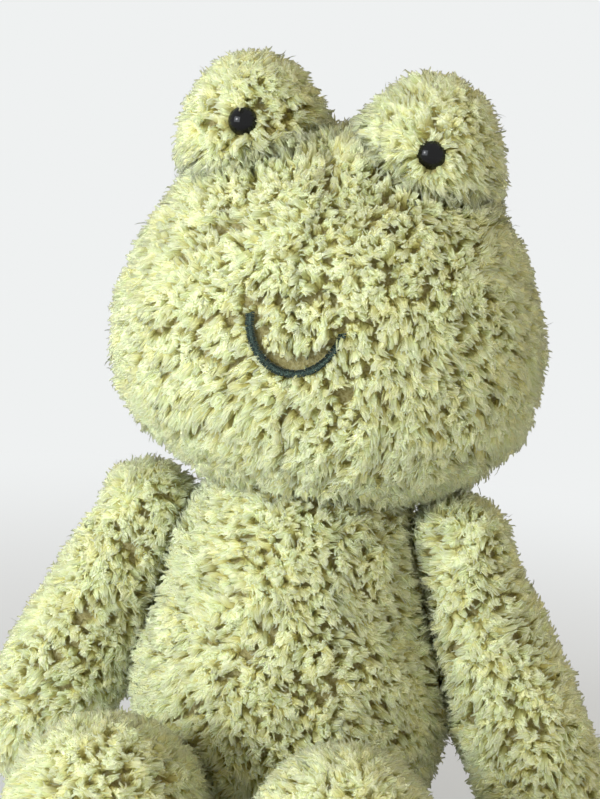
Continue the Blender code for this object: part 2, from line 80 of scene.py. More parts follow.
# %% Select objects and apply modifiers
def work_on(*items):
    """Selects these objects alone, with the first one active."""
    bpy.ops.object.select_all(action="DESELECT")
    for item in items:
        item.select_set(True)
    bpy.context.view_layer.objects.active = items[0]


def finish_with(item, kind, **settings):
    """Adds a modifier to an object and applies it."""
    work_on(item)
    bpy.ops.object.modifier_add(type=kind)
    modifier = item.modifiers[-1]
    for key, value in settings.items():
        setattr(modifier, key, value)
    bpy.ops.object.modifier_apply(modifier=modifier.name)


def joined(name, items):
    """Joins objects into one and names it."""
    work_on(*items)
    if len(items) > 1:
        bpy.ops.object.join()
    whole = bpy.context.object
    whole.name = name
    whole.data.name = name
    return whole


# %% [markdown]
# ## Colours and shader nodes
#
# Colours are written as sRGB hex values and turned to the linear
# values that Blender's shaders work in. One function adds a node, sets its inputs and links them.

# %% Write colours and nodes in short
def linear(hex_colour):
    """An sRGB hex colour as a linear colour with alpha 1."""
    channels = [int(hex_colour[i:i + 2], 16) / 255 for i in (1, 3, 5)]
    return [c / 12.92 if c <= 0.04045 else ((c + 0.055) / 1.055) ** 2.4 for c in channels] + [1.0]


def add_node(tree, kind, inputs=None, **settings):
    """Adds a shader node. Each input is a value, or the output socket that it is linked to."""
    node = tree.nodes.new("ShaderNode" + kind)
    for key, value in settings.items():
        setattr(node, key, value)
    for key, value in (inputs or {}).items():
        if isinstance(value, bpy.types.NodeSocket):
            tree.links.new(value, node.inputs[key])
        else:
            node.inputs[key].default_value = value
    return node


def new_material(name, **inputs):
    """A material with one Principled shader whose inputs are set by name."""
    material = bpy.data.materials.new(name)
    material.use_nodes = True
    tree = material.node_tree
    tree.nodes.clear()
    shader = add_node(tree, "BsdfPrincipled")
    for key, value in inputs.items():
        socket = next(s for s in shader.inputs if s.name.lower() == key.replace("_", " "))
        socket.default_value = value
    add_node(tree, "OutputMaterial", {"Surface": shader.outputs["BSDF"]})
    return material, tree, shader


def ramp(tree, factor, stops):
    """A colour ramp with stops of (place, hex colour)."""
    node = add_node(tree, "ValToRGB", {"Fac": factor})
    for place, _ in stops[1:-1]:
        node.color_ramp.elements.new(place)
    for element, (place, colour) in zip(node.color_ramp.elements, stops):
        element.position = place
        element.color = linear(colour)
    return node.outputs["Color"]


def multiplied(tree, one, other):
    """Two colours multiplied."""
    return add_node(tree, "Mix", {0: 1.0, 6: one, 7: other}, data_type="RGBA", blend_type="MULTIPLY").outputs[2]


# %% [markdown]
# ## The pile's finish
#
# Curly polyester pile is dyed one pale yellow green, but it never looks like one colour. Light gets
# lost between the locks, so their roots read as olive, and the brushed out tips read almost as cream.
# The colour paints this in: painted shade in olive at the roots, and painted light in cream at the tips.
# Each lock also takes the dye a little differently. The locks carry their own map for this: along it
# runs the way from root to tip, and across it each lock has a narrow band of its own, split among its
# strands. So a lock's tint comes from its band, and every strand has fine streaks like real fibre.

# %% Finish the locks
LOCK_BANDS = 24
STRANDS = 4
MAP = "OFBake"


def pile_finish():
    """Curly polyester pile: matte with a soft sheen, with painted olive shade at the roots and painted cream light
    at the tips.
    """
    material, tree, shader = new_material(
        "curly polyester pile", roughness=0.9, ior=1.5, specular_ior_level=0.1, subsurface_weight=1.0,
        subsurface_radius=(1.0, 1.0, 0.9), subsurface_scale=4.5 * MM)
    shader.subsurface_method = "BURLEY"
    place = add_node(tree, "UVMap", uv_map=MAP).outputs["UV"]
    split = add_node(tree, "SeparateXYZ", {"Vector": place})
    across, along = split.outputs["X"], split.outputs["Y"]
    # Painted shade and light: the ramp from root to tip darkens the roots to olive and pales the tips to cream.
    colour = ramp(tree, along, [
        (0.0, "#C6BC80"), (0.3, "#CECC98"), (0.6, "#D2D8B8"), (0.85, "#D7DDCB"), (1.0, "#DCE2D6")])
    tints = (
        (LOCK_BANDS, [(0.0, "#FFFBE8"), (0.5, "#FFFFFF"), (1.0, "#F8FDF2")]),
        (LOCK_BANDS * STRANDS, [(0.0, "#EEEEE6"), (0.5, "#FAFAF6"), (1.0, "#FFFFFF")]),
    )
    for bands, stops in tints:
        band = add_node(tree, "Math", {0: across, 1: float(bands)}, operation="MULTIPLY").outputs[0]
        band = add_node(tree, "Math", {0: band}, operation="FLOOR").outputs[0]
        chance = add_node(tree, "TexWhiteNoise", {"W": band}, noise_dimensions="1D").outputs["Value"]
        colour = multiplied(tree, colour, ramp(tree, chance, stops))
    fibre = add_node(tree, "Mapping", {"Vector": place, "Scale": (LOCK_BANDS * STRANDS * 9.0, 5.0, 1.0)})
    streaks = add_node(tree, "TexNoise", {"Vector": fibre.outputs["Vector"], "Scale": 1.0, "Detail": 2.0})
    shades = ramp(tree, streaks.outputs["Fac"], [(0.3, "#EEECDF"), (0.7, "#FFFFFF")])
    colour = multiplied(tree, colour, shades)
    tree.links.new(colour, shader.inputs["Base Color"])
    bump = add_node(tree, "Bump", {"Height": streaks.outputs["Fac"], "Strength": 0.12, "Distance": 0.3 * MM})
    tree.links.new(bump.outputs["Normal"], shader.inputs["Normal"])
    return material


def backing_finish():
    """Knitted polyester backing with the pile's short ends on it: rough, and olive as a painted shade of the gaps
    between the locks.
    """
    material, tree, shader = new_material(
        "knitted pile backing", roughness=0.95, ior=1.5, specular_ior_level=0.2,
        sheen_weight=0.2, sheen_roughness=0.6)
    place = add_node(tree, "TexCoord").outputs["Object"]
    curls = add_node(tree, "TexNoise", {"Vector": place, "Scale": 1 / (0.9 * MM), "Detail": 6.0})
    # Painted shade: the backing's olive stands for the shade in the gaps between the locks; the curls only mottle
    # it.
    colour = ramp(tree, curls.outputs["Fac"], [(0.35, "#A69C62"), (0.5, "#BEB57A"), (0.68, "#D0CC9A")])
    tree.links.new(colour, shader.inputs["Base Color"])
    bump = add_node(tree, "Bump", {"Height": curls.outputs["Fac"], "Strength": 1.0, "Distance": 1 * MM})
    tree.links.new(bump.outputs["Normal"], shader.inputs["Normal"])
    return material


PILE = pile_finish()
BACKING = backing_finish()
print("pile colours span", LOCK_BANDS * STRANDS, "strand tints")

# %% [markdown]
# ## The sewn forms
#
# Under the pile is the cloth that carries it. Each sewn form of the frame, its panels with what fills
# them, is copied and joined, and a voxel remesh turns the copy into one even skin. That skin is kept as
# the form's envelope, because the tips of the pile reach it. The backing lies under it.

# %% Copy the sewn forms as even skins
SKIN_STEP = 2.6 * MM
GAP_FILL = 0.4 * MM
FORMS = {
    "torso": ("torso", ["torso_front_panel", "torso_back_panel", "seat_panel"], ["torso_filling", "bean_pouch"]),
    "head": ("head", ["head_front_panel", "head_back_panel"], ["head_filling"]),
}
for side in ("left", "right"):
    FORMS[f"{side}_mound"] = ("head", [f"{side}_eye_mound"], [f"{side}_mound_filling", f"{side}_eye"])
    for limb, halves in (("arm", ("front", "back")), ("leg", ("outer", "inner"))):
        name = f"{side}_{limb}"
        FORMS[name] = (name, [f"{name}_{half}_panel" for half in halves], [f"{name}_filling"])


def copy_of(name, nodes):
    """One new mesh object from copies of frame nodes, with their loose triangles merged."""
    copies = []
    for node in nodes:
        copy = bpy.data.objects.new(name, frame["nodes"][node].data.copy())
        bpy.context.collection.objects.link(copy)
        copies.append(copy)
    whole = joined(name, copies)
    bpy.ops.object.mode_set(mode="EDIT")
    bpy.ops.mesh.select_all(action="SELECT")
    bpy.ops.mesh.remove_doubles(threshold=0.01 * MM)
    bpy.ops.object.mode_set(mode="OBJECT")
    whole.data.materials.clear()
    return whole


def largest_part(item):
    """The largest loose part of a mesh. The others are deleted."""
    name = item.name
    work_on(item)
    bpy.ops.object.mode_set(mode="EDIT")
    bpy.ops.mesh.select_all(action="SELECT")
    bpy.ops.mesh.separate(type="LOOSE")
    bpy.ops.object.mode_set(mode="OBJECT")
    parts = sorted(bpy.context.selected_objects, key=lambda part: len(part.data.vertices))
    for part in parts[:-1]:
        bpy.data.objects.remove(part)
    parts[-1].name = name
    return parts[-1]


def tree_of(item):
    """A search tree of an object's faces."""
    corners = [vertex.co for vertex in item.data.vertices]
    return BVHTree.FromPolygons(corners, [list(face.vertices) for face in item.data.polygons])


skins, envelopes = {}, {}
for form, (body, panels, inside) in FORMS.items():
    skin = copy_of(form + "_backing", panels + inside)
    finish_with(skin, "DISPLACE", strength=GAP_FILL, mid_level=0)
    finish_with(skin, "REMESH", mode="VOXEL", voxel_size=SKIN_STEP)
    skin = largest_part(skin)
    finish_with(skin, "SMOOTH", factor=0.5, iterations=4)
    skins[form], envelopes[form] = skin, tree_of(skin)
print("skins:", {form: len(skin.data.vertices) for form, skin in skins.items()})

# %% [markdown]
# ## Where the tips stand
#
# What the eye sees is the tips, so the tips are spread first. Many places are thrown on the envelope at
# random, by area, and one is kept only if no kept one is closer than the spacing. Neighbours fall the
# same way in small clumps, each clump its own way, and that gives the gaps that the eye reads as curl.

# %% Spread places over a skin
LOCK_SPACING = 1.76 * MM
CLUMP_SPACING = 4.6 * MM
TRIES = 6


def thinned(points, spacing):
    """Which points to keep so that none is closer to another than the spacing."""
    kept, cells = [], {}
    grid = np.floor(points / spacing).astype(int)
    near = [(i, j, k) for i in (-1, 0, 1) for j in (-1, 0, 1) for k in (-1, 0, 1)]
    for index, (i, j, k) in enumerate(grid.tolist()):
        x, y, z = points[index].tolist()
        close = False
        for a, b, c in near:
            for px, py, pz in cells.get((i + a, j + b, k + c), ()):
                if (px - x) ** 2 + (py - y) ** 2 + (pz - z) ** 2 < spacing ** 2:
                    close = True
                    break
            if close:
                break
        if not close:
            cells.setdefault((i, j, k), []).append((x, y, z))
            kept.append(index)
    return np.array(kept)


def spread(item, spacing, seed):
    """Places and directions spread evenly over an object's surface."""
    mesh = item.data
    mesh.calc_loop_triangles()
    corners = np.empty(len(mesh.loop_triangles) * 3, np.int32)
    mesh.loop_triangles.foreach_get("vertices", corners)
    points = np.empty(len(mesh.vertices) * 3)
    mesh.vertices.foreach_get("co", points)
    facing = np.array([vertex.normal for vertex in mesh.vertices])
    corners = corners.reshape(-1, 3)
    sides = points.reshape(-1, 3)[corners]
    areas = np.linalg.norm(np.cross(sides[:, 1] - sides[:, 0], sides[:, 2] - sides[:, 0]), axis=1) / 2
    chance = np.random.default_rng(seed)
    count = int(areas.sum() / spacing ** 2 * TRIES)
    pick = chance.choice(len(areas), count, p=areas / areas.sum())
    weights = chance.dirichlet((1, 1, 1), count)[:, :, None]
    places = (sides[pick] * weights).sum(1)
    ups = (facing[corners[pick]] * weights).sum(1)
    kept = thinned(places, spacing)
    return places[kept], unit(ups[kept])


def unit(vectors):
    """Vectors made one long."""
    return vectors / np.maximum(np.linalg.norm(vectors, axis=-1, keepdims=True), 1e-9)


def flat_to(vectors, ups):
    """Vectors laid flat on the surfaces whose directions are given, one long."""
    return unit(vectors - (vectors * ups).sum(1, keepdims=True) * ups)


def swirl(points, size, seed):
    """A smooth random vector at each point, which changes over about this distance."""
    shift = Vector((seed * 3.7, seed * 1.3, seed * 7.9))
    return np.array([noise.noise_vector(Vector(point) / size + shift) for point in points])


tips = {form: spread(skins[form], LOCK_SPACING, seed) for seed, form in enumerate(FORMS, 1)}
print("tips:", {form: len(places) for form, (places, ups) in tips.items()})

# %% [markdown]
# ## The backing cloth
#
# In the open the pile stands about 4.5 mm deep over its backing. Where two forms press on each other,
# and where the frog sits on the floor, the pile is crushed and the backing lies nearly at the surface.
# So each skin is moved inwards by a depth that follows the room around it, then remeshed and smoothed.

# %% Press each skin down to its backing
PILE_DEPTH = 2.8 * MM
CRUSHED_DEPTH = 0.8 * MM
CRUSH_NEAR = 2.0 * MM
CRUSH_FAR = 8.0 * MM
NOTCH_REACH = 12 * MM


def eased(share):
    """A share from 0 to 1 with soft ends."""
    share = min(1.0, max(0.0, share))
    return share * share * (3 - 2 * share)


def room_at(form, point):
    """Distance from a point to the nearest other body, or to the floor."""
    body = FORMS[form][0]
    others = [envelopes[other] for other in FORMS if FORMS[other][0] != body]
    gaps = [tree.find_nearest(point, CRUSH_FAR)[3] for tree in others]
    return min([gap for gap in gaps if gap is not None] + [max(point[2], 0.0), CRUSH_FAR])


def notch_at(form, point):
    """1 where another form of the same body meets this one, falling to 0 a little way off."""
    body = FORMS[form][0]
    others = [envelopes[other] for other in FORMS if FORMS[other][0] == body and other != form]
    gaps = [tree.find_nearest(point)[3] for tree in others]
    return eased(1 - min(gaps + [NOTCH_REACH]) / NOTCH_REACH)


def openness(form, point):
    """0 where something presses on a form, and 1 where nothing is near."""
    return eased((room_at(form, point) - CRUSH_NEAR) / (CRUSH_FAR - CRUSH_NEAR))


for form, (body, panels, inside) in FORMS.items():
    skin = skins[form]
    group = skin.vertex_groups.new(name="depth")
    for vertex in skin.data.vertices:
        depth = CRUSHED_DEPTH + (PILE_DEPTH - CRUSHED_DEPTH) * openness(form, vertex.co)
        group.add([vertex.index], depth / PILE_DEPTH, "REPLACE")
    finish_with(skin, "DISPLACE", strength=-PILE_DEPTH - GAP_FILL, mid_level=0, vertex_group="depth")
    finish_with(skin, "REMESH", mode="VOXEL", voxel_size=SKIN_STEP)
    skin = largest_part(skin)
    finish_with(skin, "SMOOTH", factor=0.5, iterations=6)
    skin.data.shade_smooth()
    skin.data.materials.append(BACKING)
    skins[form] = skin
    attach(skin, body)
    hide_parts(*panels)
print("backings:", {form: len(skin.data.vertices) for form, skin in skins.items()})

# %% [markdown]
# ## One strand, then one lock
#
# A lock of the pile is a soft core of crimped fibre with finer strands fraying out of it. Both are
# extruded ring by ring from a small polygon. Three fine strands stand around a core and lean apart, a
# cloud texture gives the bundle its crimp, and a twist about an axis beside it curls it as the steam
# does at the mill. Few faces are spent on each strand, because the frog carries tens of thousands.

# %% Extrude a strand
CORE = dict(radius=0.95 * MM, sides=4, share=0.88, shape=((0.0, 2.0), (0.4, 1.2), (0.9, 0.75)))
FINE = dict(radius=0.42 * MM, sides=3, share=1.0, shape=((0.0, 0.9), (0.5, 1.0), (0.92, 0.7)))
HAIR = dict(radius=0.11 * MM, sides=3, share=1.0,
            shape=((0.0, 1.0), (0.2, 1.0), (0.4, 1.0), (0.55, 1.0), (0.7, 1.0), (0.85, 0.9)))
HAIR_CURL = 3.5 * MM
LOCK_LENGTH = 9 * MM


def turned(profile, sides):
    """A round form up the Z axis, extruded ring by ring through (radius, height) to a point."""
    width, height = profile[0]
    bpy.ops.mesh.primitive_circle_add(vertices=sides, radius=width, fill_type="NGON", location=(0, 0, height))
    bpy.ops.object.transform_apply()
    bpy.ops.object.mode_set(mode="EDIT")
    for next_width, next_height in profile[1:]:
        rise = next_height - height
        bpy.ops.mesh.extrude_region_move(TRANSFORM_OT_translate={"value": (0, 0, rise)})
        change = next_width / width
        bpy.ops.transform.resize(value=(change, change, 1), center_override=(0, 0, next_height))
        width, height = next_width, next_height
    bpy.ops.mesh.merge(type="CENTER")
    bpy.ops.mesh.select_all(action="SELECT")
    bpy.ops.mesh.normals_make_consistent(inside=False)
    bpy.ops.object.mode_set(mode="OBJECT")
    return bpy.context.object


def strand(radius, sides, share, shape):
    """A strand up the Z axis, from rings of (share of its length, share of its radius) to a point."""
    length = LOCK_LENGTH * share
    piece = turned([(radius * width, length * height) for height, width in shape + ((1.0, 0.1),)], sides)
    finish_with(piece, "TRIANGULATE")
    layer = piece.data.uv_layers[0] if piece.data.uv_layers else piece.data.uv_layers.new()
    layer.name = MAP
    for loop in piece.data.loops:
        x, y, z = piece.data.vertices[loop.vertex_index].co
        turn = abs(math.atan2(x, y)) / math.pi
        across = 0.5 if math.hypot(x, y) < radius * 0.01 else turn
        layer.data[loop.index].uv = (across, z / LOCK_LENGTH)
    return piece


# %% Bundle strands into locks
LOCK_KINDS = 10
LOCK_RADIUS = 1.05 * MM
LOCK_TAPER = -0.3
LOCK_SPREAD = math.radians(4)
SUNFLOWER = math.radians(137.5)
CRIMP = 1.6 * MM
CRIMP_SIZE = 2.6 * MM


def lock(core, fine, kind):
    """A lock from one core and copies of a fine strand: tapered, crimped, and twisted off its axis."""
    chance = np.random.default_rng(kind)
    beside = chance.uniform(0.2, 0.8) * MM
    copies = []
    for number in range(STRANDS):
        copy = bpy.data.objects.new(f"lock_{kind}", (fine if number else core).data.copy())
        bpy.context.collection.objects.link(copy)
        turn = number * SUNFLOWER + chance.uniform(-0.3, 0.3)
        away = LOCK_RADIUS * math.sqrt((number + 1) / STRANDS) if number else 0.0
        lean = LOCK_SPREAD * chance.uniform(-0.6, 1.5) if number else 0.0
        copy.location = (math.cos(turn) * away + beside, math.sin(turn) * away, 0)
        copy.rotation_euler = (-math.sin(turn) * lean, math.cos(turn) * lean, 0)
        copy.scale = (1, 1, chance.uniform(0.72, 1.06))
        for point in copy.data.uv_layers[MAP].data:
            point.uv = ((number + 0.1 + 0.8 * point.uv[0]) / STRANDS, point.uv[1])
        copies.append(copy)
    whole = joined(f"lock_{kind}", copies)
    bpy.ops.object.transform_apply()
    finish_with(whole, "SIMPLE_DEFORM", deform_method="TAPER", deform_axis="Z", factor=LOCK_TAPER)
    whole.location.x = kind * CRIMP_SIZE * 9
    crimp = bpy.data.textures.new("crimp", "CLOUDS")
    crimp.noise_scale = CRIMP_SIZE
    crimp.cloud_type = "COLOR"
    finish_with(whole, "DISPLACE", texture=crimp, texture_coords="GLOBAL", direction="RGB_TO_XYZ",
                strength=CRIMP, mid_level=0.5)
    whole.location.x = 0
    finish_with(whole, "SIMPLE_DEFORM", deform_method="TWIST", deform_axis="Z",
                angle=chance.choice([-1, 1]) * math.radians(chance.uniform(30, 130)))
    if kind == 0:
        print("a lock spans in mm:", [round(side / MM, 1) for side in whole.dimensions])
    return whole


def as_arrays(items, length):
    """Points, faces and map places of like meshes, with heights as shares of a length."""
    points = np.array([[vertex.co for vertex in item.data.vertices] for item in items])
    points[:, :, 2] /= length
    faces = np.array([list(face.vertices) for face in items[0].data.polygons])
    places = np.array([point.uv for point in items[0].data.uv_layers[MAP].data])
    for item in items:
        bpy.data.objects.remove(item)
    return points, faces, places


def hair(kind):
    """One loose hair, with a wide soft curl."""
    piece = strand(**HAIR)
    piece.location.x = kind * CRIMP_SIZE * 9
    curl = bpy.data.textures.new("curl", "CLOUDS")
    curl.noise_scale = HAIR_CURL
    curl.cloud_type = "COLOR"
    finish_with(piece, "DISPLACE", texture=curl, texture_coords="GLOBAL", direction="RGB_TO_XYZ",
                strength=HAIR_CURL, mid_level=0.5)
    piece.location.x = 0
    # A loose hair takes only the upper, paler half of the root to tip ramp, so it carries the painted light of the
    # tips and little painted shade.
    for point in piece.data.uv_layers[MAP].data:
        point.uv = ((0.1 + 0.8 * point.uv[0]) / STRANDS, 0.5 + 0.5 * point.uv[1])
    return piece


models = strand(**CORE), strand(**FINE)
LOCKS = as_arrays([lock(*models, kind) for kind in range(LOCK_KINDS)], LOCK_LENGTH)
HAIRS = as_arrays([hair(kind) for kind in range(LOCK_KINDS)], LOCK_LENGTH)
for model in models:
    bpy.data.objects.remove(model)
print("a lock has", len(LOCKS[1]), "faces")

# %% [markdown]
# ## The eyes and the smile as places
#
# The pile is trimmed round the bead eyes and parted along the smile, so both have to be known before it
# grows. A bead's axis runs from its washer to its dome. The smile's middle line is found by sorting the
# points of its solid round the smile and taking them ring by ring.

# %% Find the eyes and the smile
BEAD_DOME = 4.6 * MM
BEAD_RADIUS = 4.5 * MM
SMILE_RINGS = 23


def points_of(node):
    """The separate points of a frame node."""
    corners = np.array([vertex.co for vertex in frame["nodes"][node].data.vertices])
    return np.unique(np.round(corners, 7), axis=0)


eyes = {}
for side in ("left", "right"):
    points = points_of(side + "_eye")
    middle = points.mean(0)
    axis = unit(middle - points_of(side + "_eye_washer").mean(0))
    back = middle + axis * (((points - middle) @ axis).max() - BEAD_DOME)
    eyes[side] = (back, axis)

points = points_of("smile_stitching")
middle = np.array([(points[:, 0].min() + points[:, 0].max()) / 2, 0, points[:, 2].max()])
halves = (np.ptp(points[:, 0]) / 2, 1, np.ptp(points[:, 2]))
turns = np.arctan2(*((middle - points) / halves)[:, [2, 0]].T)
rings = np.array_split(points[np.argsort(turns)[1:-1]], SMILE_RINGS)
smile_line = np.array([ring.mean(0) for ring in rings])
print("smile from", (smile_line[0] / MM).round(1), "to", (smile_line[-1] / MM).round(1))

# %% [markdown]
# ## How the locks lie
#
# A lock leaves the backing nearly upright and bends over as it grows. Its root is found from its tip: a
# little way back along the coat, and down on the backing. The coat falls outwards from the front of each
# form and slightly down, with a slow swirl, and clumps of locks each have a way of their own.

# %% Say where locks grow
FACES_PER_PIECE = 190000
PROUD = 1.0 * MM
CRUSHED = -0.8 * MM
LENGTHS = (4 * MM, 13 * MM)
REACH = 4.0 * MM
HAIR_SHARE = 0.03
HAIR_PROUD = 2.2 * MM
STEEPEST = math.radians(70)
LEAST_HEIGHT = 1.5 * MM
ROOT_SUNK = 0.6 * MM
FLOOR_PRESS = 1.5 * MM
PIVOTS = {joint["child"]: joint["pos_m"] for joint in frame["joints"]}
SOCKETS = [
    (("head", "torso"), PIVOTS["head"], 46 * MM),
    (("left_arm", "torso"), PIVOTS["left_arm"], 19 * MM),
    (("right_arm", "torso"), PIVOTS["right_arm"], 19 * MM),
    (("left_leg", "torso"), PIVOTS["left_leg"], 16 * MM),
    (("right_leg", "torso"), PIVOTS["right_leg"], 16 * MM),
]
SOCKET_GAP = 1.5 * MM
HIDDEN = 3.2 * MM
CREASE_ROOM = 5 * MM
CREASE_SPAN = 3.8 * MM
CREASE_FILL = 3.4 * MM
CHIN_FALL = np.array((0, 0, -0.8))
NOTCH_FILL = 4.0 * MM
EYE_CLEAR = 1.0 * MM
EYE_GROOM = 5 * MM
SMILE_CLEAR = 1.7 * MM
SMILE_GROOM = 3.6 * MM
SMILE_APART = 7 * MM


def inside(tree, point):
    """True where a point is inside a closed surface: a ray from it crosses the surface an odd number of times."""
    way = Vector((0.31, 0.52, 0.79)).normalized()
    start, crossings = Vector(point), 0
    place = tree.ray_cast(start, way)[0]
    while place is not None:
        crossings += 1
        start = place + way * 0.01 * MM
        place = tree.ray_cast(start, way)[0]
    return crossings % 2 == 1


def bare(form, tip, room):
    """True where no lock grows: in a limb's socket, or inside another form of the same body."""
    body = FORMS[form][0]
    for bodies, middle, reach in SOCKETS:
        if body in bodies and room < SOCKET_GAP and (Vector(middle) - tip).length < reach:
            return True
    for other, (other_body, _, _) in FORMS.items():
        if other_body == body and other != form:
            gap = envelopes[other].find_nearest(tip)[3]
            if gap > HIDDEN and inside(envelopes[other], tip):
                return True
    return False


# %% Groom the pile near the eyes and the smile
def share_near(gaps, clear, groom):
    """1 at the edge of what stays clear, and 0 where grooming ends."""
    return np.clip(1 - (gaps - clear) / (groom - clear), 0, 1)


def groomed(form, places, ups, ways, proud):
    """Which locks to keep near the eyes and the smile, and their ways, heights, farthest reach and width."""
    keep = np.ones(len(places), bool)
    limit = np.full(len(places), REACH * 2)
    width = np.ones(len(places))
    side = form.split("_")[0]
    if form.endswith("mound"):
        back, axis = eyes[side]
        offset = places - back
        out = offset - (offset @ axis)[:, None] * axis
        gaps = np.linalg.norm(out, axis=1)
        front = (offset @ axis) > -EYE_GROOM
        near = share_near(gaps, BEAD_RADIUS, BEAD_RADIUS + EYE_GROOM) * front
        above = (out @ LID_WAY > 0.6 * gaps) & (side == "right")
        keep = ~(front & (gaps < BEAD_RADIUS + EYE_CLEAR) & ~(above & (gaps > 0.4 * BEAD_RADIUS)))
        aside = np.where(above[:, None], -0.9, 1.0) * unit(out)
        ways = ways * (1 - near[:, None]) + aside * near[:, None] * 1.4
        proud = np.where(above & (near > 0), np.maximum(proud, LID_PROUD * near), proud - near * 0.6 * MM)
        limit = np.where((near > 0) & ~above, np.maximum(gaps - BEAD_RADIUS, 0.3 * MM), limit)
        width -= 0.3 * near
    if form == "head":
        offsets = places[:, None] - smile_line[None]
        gaps = np.linalg.norm(offsets, axis=2)
        nearest = gaps.argmin(1)
        rows = np.arange(len(places))
        gap, out = gaps[rows, nearest], offsets[rows, nearest]
        near = share_near(gap, SMILE_CLEAR, SMILE_GROOM)
        crossing = np.isin(nearest, CROSSED) & (out[:, 2] < 0)
        keep = (gap > SMILE_CLEAR) | crossing
        ways = ways * (1 - near[:, None]) + unit(out) * near[:, None]
        proud = np.where(crossing, proud + 1.0 * MM * near, proud * (1 - near) + 0.2 * MM * near)
        leaving = (gap < SMILE_APART) & ((ways * unit(out)).sum(1) > 0) & ~crossing
        limit = np.where(leaving, np.maximum(gap - SMILE_CLEAR, 0.3 * MM), limit)
        width -= 0.5 * near
    return keep, ways, proud, limit, width


CROSSED = (20,)
LID_WAY = np.array((0.5, 0, 0.87))
LID_PROUD = 2.2 * MM


# %% Grow locks as one mesh
def as_mesh(name, points, faces, places):
    """A mesh object from arrays of points, three cornered faces and map places."""
    mesh = bpy.data.meshes.new(name)
    mesh.vertices.add(len(points))
    mesh.vertices.foreach_set("co", points.astype(np.float32).ravel())
    mesh.loops.add(faces.size)
    mesh.loops.foreach_set("vertex_index", faces.astype(np.int32).ravel())
    mesh.polygons.add(len(faces))
    mesh.polygons.foreach_set("loop_start", np.arange(0, faces.size, 3, dtype=np.int32))
    mesh.polygons.foreach_set("use_smooth", np.ones(len(faces), bool))
    mesh.uv_layers.new(name=MAP).data.foreach_set("uv", places.astype(np.float32).ravel())
    mesh.update(calc_edges=True)
    mesh.validate()
    item = bpy.data.objects.new(name, mesh)
    bpy.context.collection.objects.link(item)
    return item


def grown(name, kinds, roots, ups, leans, heights, starts, bends, widths, seed):
    """Copies of lock kinds at their roots, bent over, as one mesh."""
    shapes, faces, places = kinds
    chance = np.random.default_rng(seed)
    count = len(roots)
    shape = shapes[chance.integers(0, len(shapes), count)]
    turn = chance.uniform(0, math.tau, count)[:, None]
    x = (shape[:, :, 0] * np.cos(turn) - shape[:, :, 1] * np.sin(turn)) * widths[:, None]
    y = (shape[:, :, 0] * np.sin(turn) + shape[:, :, 1] * np.cos(turn)) * widths[:, None]
    lengths = np.clip(heights * bends / (np.sin(starts + bends) - np.sin(starts)), *LENGTHS)
    curve = (lengths / bends)[:, None]
    angle = shape[:, :, 2] * bends[:, None]
    out, up = curve - (curve - x) * np.cos(angle), (curve - x) * np.sin(angle)
    first = starts[:, None]
    out, up = out * np.cos(first) + up * np.sin(first), up * np.cos(first) - out * np.sin(first)
    across = np.cross(ups, leans)
    points = (roots[:, None] + out[:, :, None] * leans[:, None] + y[:, :, None] * across[:, None]
              + up[:, :, None] * ups[:, None])
    low = points[:, :, 2]
    points[:, :, 2] = np.where(low < FLOOR_PRESS, FLOOR_PRESS * np.exp(low / FLOOR_PRESS - 1), low)
    steps = np.arange(count)[:, None, None] * shapes.shape[1]
    bands = chance.integers(0, LOCK_BANDS, count)[:, None]
    mapped = np.stack([(bands + places[:, 0]) / LOCK_BANDS, np.broadcast_to(places[:, 1], (count, len(places)))], 2)
    return as_mesh(name, points.reshape(-1, 3), (faces + steps).reshape(-1, 3), mapped.reshape(-1, 2))


